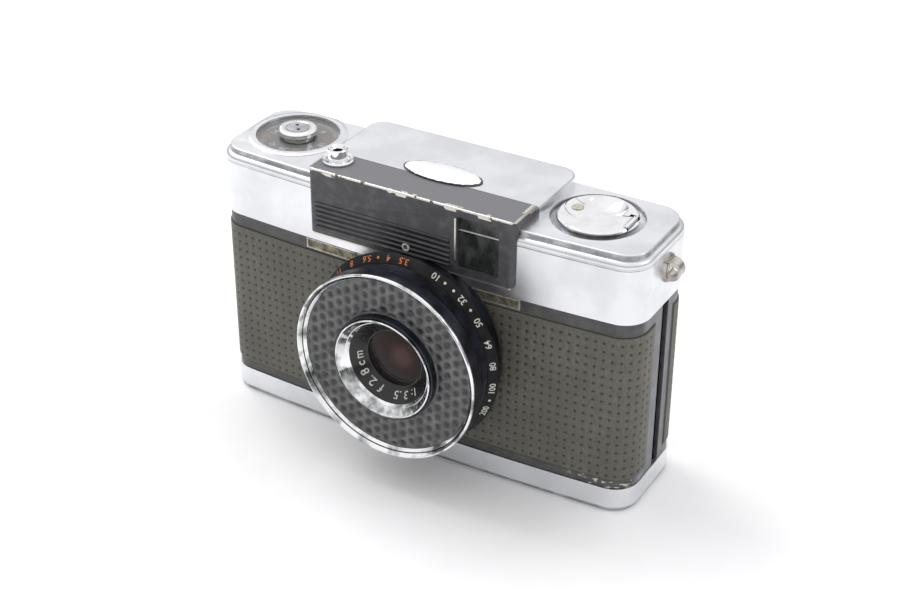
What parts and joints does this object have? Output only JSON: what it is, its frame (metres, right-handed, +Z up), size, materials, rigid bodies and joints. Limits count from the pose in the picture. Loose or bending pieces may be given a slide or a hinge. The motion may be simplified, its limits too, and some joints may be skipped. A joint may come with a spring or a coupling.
{
  "type": "half frame camera",
  "caption": "Compact half-frame film camera with a honeycomb light cell round the lens, thumbwheel wind, folding rewind crank and a removable back.",
  "frame": {"origin": "bottom centre of the whole camera, on the surface that it stands on", "axes": "+Z up, +X to the right when looking at the front, +Y towards the back; the lens points along -Y"},
  "size_m": [0.118, 0.0474, 0.073],
  "materials": {
    "satin_chrome": "satin",
    "polished_chrome": "polished",
    "black_enamel": "semi-gloss enamel with worn edges",
    "painted_casting": "satin dark paint on a die casting",
    "frame_paint": "satin paint",
    "lens_casting": "satin black anodised",
    "leatherette": "pebbled vinyl leatherette",
    "worn_brass": "tarnished",
    "lug_steel": "worn nickel",
    "barrel_black": "satin blue-black",
    "scale_black": "satin with engraved figures",
    "optic_glass": "coated glass",
    "cell_plastic": "moulded lens array",
    "selenium": "selenium-coated plate",
    "dial_face": "printed dial",
    "gear_brass": "machined",
    "bright_steel": "bright",
    "black_steel": "matt blackened steel",
    "black_plastic": "moulded"
  },
  "bodies": {
    "camera_body": {"body_frame": "painted_casting", "top_cover": "satin_chrome", "front_plate": "black_enamel", "oval_badge": "polished_chrome", "front_leatherette": "leatherette", "front_band_strip": "worn_brass", "strap_lug_left": "lug_steel", "strap_lug_right": "lug_steel", "finder_window": "optic_glass", "finder_housing": "black_steel", "eyepiece_ring": "polished_chrome", "eyepiece_lens": "optic_glass", "counter_window": "optic_glass", "release_collar": "polished_chrome", "lens_base": "lens_casting", "lens_mount_screws": "bright_steel", "shutter_plate": "black_steel", "shutter_cover": "black_steel", "lens_cell": "gear_brass", "front_element": "optic_glass", "rear_element": "optic_glass", "name_ring": "black_enamel", "chrome_cone": "polished_chrome", "cell_housing": "barrel_black", "selenium_cell": "selenium", "cell_window": "cell_plastic", "front_chrome_ring": "polished_chrome", "meter_movement": "black_plastic", "release_spring": "bright_steel", "rewind_release_spring": "bright_steel"},
    "release": {"release_button": "polished_chrome", "release_bar": "bright_steel"},
    "frame_counter": {"counter_dial": "dial_face", "counter_knob": "polished_chrome", "counter_ratchet": "gear_brass"},
    "rewind_carrier": {"rewind_sleeve": "gear_brass"},
    "rewind_spindle": {"rewind_disc": "polished_chrome", "rewind_shaft": "bright_steel", "crank_pin": "polished_chrome"},
    "folding_crank": {"rewind_crank": "polished_chrome"},
    "crank_knob": {"crank_grip": "worn_brass"},
    "sliding_back": {"back_shell": "frame_paint", "back_leatherette": "leatherette", "base_plate": "satin_chrome", "tripod_socket": "bright_steel"},
    "back_lock": {"lock_disc": "bright_steel"},
    "lock_key": {"lock_key": "bright_steel"},
    "rewind_release": {"rewind_release_button": "bright_steel"},
    "film_presser": {"pressure_plate": "black_steel", "pressure_spring": "bright_steel"},
    "winding_wheel": {"thumbwheel": "bright_steel", "winding_gear": "gear_brass"},
    "idler": {"idler_gear": "gear_brass"},
    "film_sprocket": {"sprocket": "black_plastic"},
    "takeup": {"takeup_spool": "black_plastic"},
    "speed_ring": {"asa_grip": "barrel_black", "asa_scale": "scale_black"},
    "blade_a": {"shutter_blade_a": "black_steel"},
    "blade_b": {"shutter_blade_b": "black_steel"},
    "needle": {"meter_needle": "black_steel"}
  },
  "joints": [
    {"name": "release_press", "type": "slide", "parent": "camera_body", "child": "release", "axis": [0, 0, -1], "range_m": [0, 0.0018], "stiffness_N_per_m": 150, "springref_m": -0.004, "deforming": ["release_spring"]},
    {"name": "rewind_lift", "type": "slide", "parent": "camera_body", "child": "rewind_carrier", "axis": [0, 0, 1], "range_m": [0, 0.0035]},
    {"name": "rewind_spin", "type": "hinge", "parent": "rewind_carrier", "child": "rewind_spindle", "pos_m": [0.03826, 0.00926, 0.066], "axis": [0, 0, 1], "continuous": true},
    {"name": "crank_fold", "type": "hinge", "parent": "rewind_spindle", "child": "folding_crank", "pos_m": [0.0459, 0.0093, 0.0673], "axis": [0, 1, 0], "range_deg": [0, 125]},
    {"name": "crank_knob_spin", "type": "hinge", "parent": "folding_crank", "child": "crank_knob", "pos_m": [0.033, 0.0098, 0.0665], "axis": [0, 0, 1], "continuous": true},
    {"name": "counter_set", "type": "hinge", "parent": "camera_body", "child": "frame_counter", "pos_m": [-0.04206, 0.01041, 0.065], "axis": [0, 0, 1], "continuous": true},
    {"name": "thumbwheel_wind", "type": "hinge", "parent": "camera_body", "child": "winding_wheel", "pos_m": [-0.0405, 0.0102, 0.055], "axis": [0, 0, 1], "continuous": true},
    {"name": "idler_turn", "type": "hinge", "parent": "camera_body", "child": "idler", "pos_m": [-0.02661, 0.00847, 0.0525], "axis": [0, 0, 1], "continuous": true},
    {"name": "sprocket_turn", "type": "hinge", "parent": "camera_body", "child": "film_sprocket", "pos_m": [-0.0175, 0.0137, 0.033], "axis": [0, 0, 1], "continuous": true},
    {"name": "takeup_turn", "type": "hinge", "parent": "camera_body", "child": "takeup", "pos_m": [-0.0405, 0.0102, 0.03], "axis": [0, 0, 1], "continuous": true},
    {"name": "back_slide", "type": "slide", "parent": "camera_body", "child": "sliding_back", "axis": [0, 0, -1], "range_m": [0, 0.06]},
    {"name": "lock_turn", "type": "hinge", "parent": "sliding_back", "child": "back_lock", "pos_m": [-0.036, 0.008, 0.001], "axis": [0, 0, 1], "range_deg": [0, 90]},
    {"name": "key_fold", "type": "hinge", "parent": "back_lock", "child": "lock_key", "pos_m": [-0.036, 0.008, 0.0009], "axis": [-1, 0, 0], "range_deg": [0, 90]},
    {"name": "rewind_release_press", "type": "slide", "parent": "camera_body", "child": "rewind_release", "axis": [0, 0, 1], "range_m": [0, 0.0012], "stiffness_N_per_m": 100, "springref_m": -0.004, "deforming": ["rewind_release_spring"]},
    {"name": "presser_slide", "type": "slide", "parent": "sliding_back", "child": "film_presser", "axis": [0, 1, 0], "range_m": [0, 0.0004], "stiffness_N_per_m": 150, "springref_m": -0.003},
    {"name": "speed_ring_turn", "type": "hinge", "parent": "camera_body", "child": "speed_ring", "pos_m": [0.0021, -0.015, 0.03345], "axis": [0, 1, 0], "range_deg": [-70, 75]},
    {"name": "blade_a_swing", "type": "hinge", "parent": "camera_body", "child": "blade_a", "pos_m": [-0.0079, -0.0115, 0.03345], "axis": [0, 1, 0], "range_deg": [0, 58], "stiffness_Nm_per_rad": 0.0003, "springref_deg": -34.38},
    {"name": "blade_b_swing", "type": "hinge", "parent": "camera_body", "child": "blade_b", "pos_m": [0.0121, -0.0119, 0.03345], "axis": [0, 1, 0], "range_deg": [0, 58]},
    {"name": "needle_swing", "type": "hinge", "parent": "camera_body", "child": "needle", "pos_m": [-0.004, 0.01, 0.061], "axis": [0, 0, 1], "range_deg": [0, 50], "stiffness_Nm_per_rad": 0.00002, "springref_deg": -17.19}
  ],
  "couplings": [
    {"joint": "idler_turn", "follows": "thumbwheel_wind", "ratio": -1.8},
    {"joint": "sprocket_turn", "follows": "thumbwheel_wind", "ratio": 1.6364},
    {"joint": "takeup_turn", "follows": "thumbwheel_wind", "ratio": 1},
    {"joint": "counter_set", "follows": "thumbwheel_wind", "ratio": 0.045455},
    {"joint": "blade_b_swing", "follows": "blade_a_swing", "ratio": 1}
  ]
}
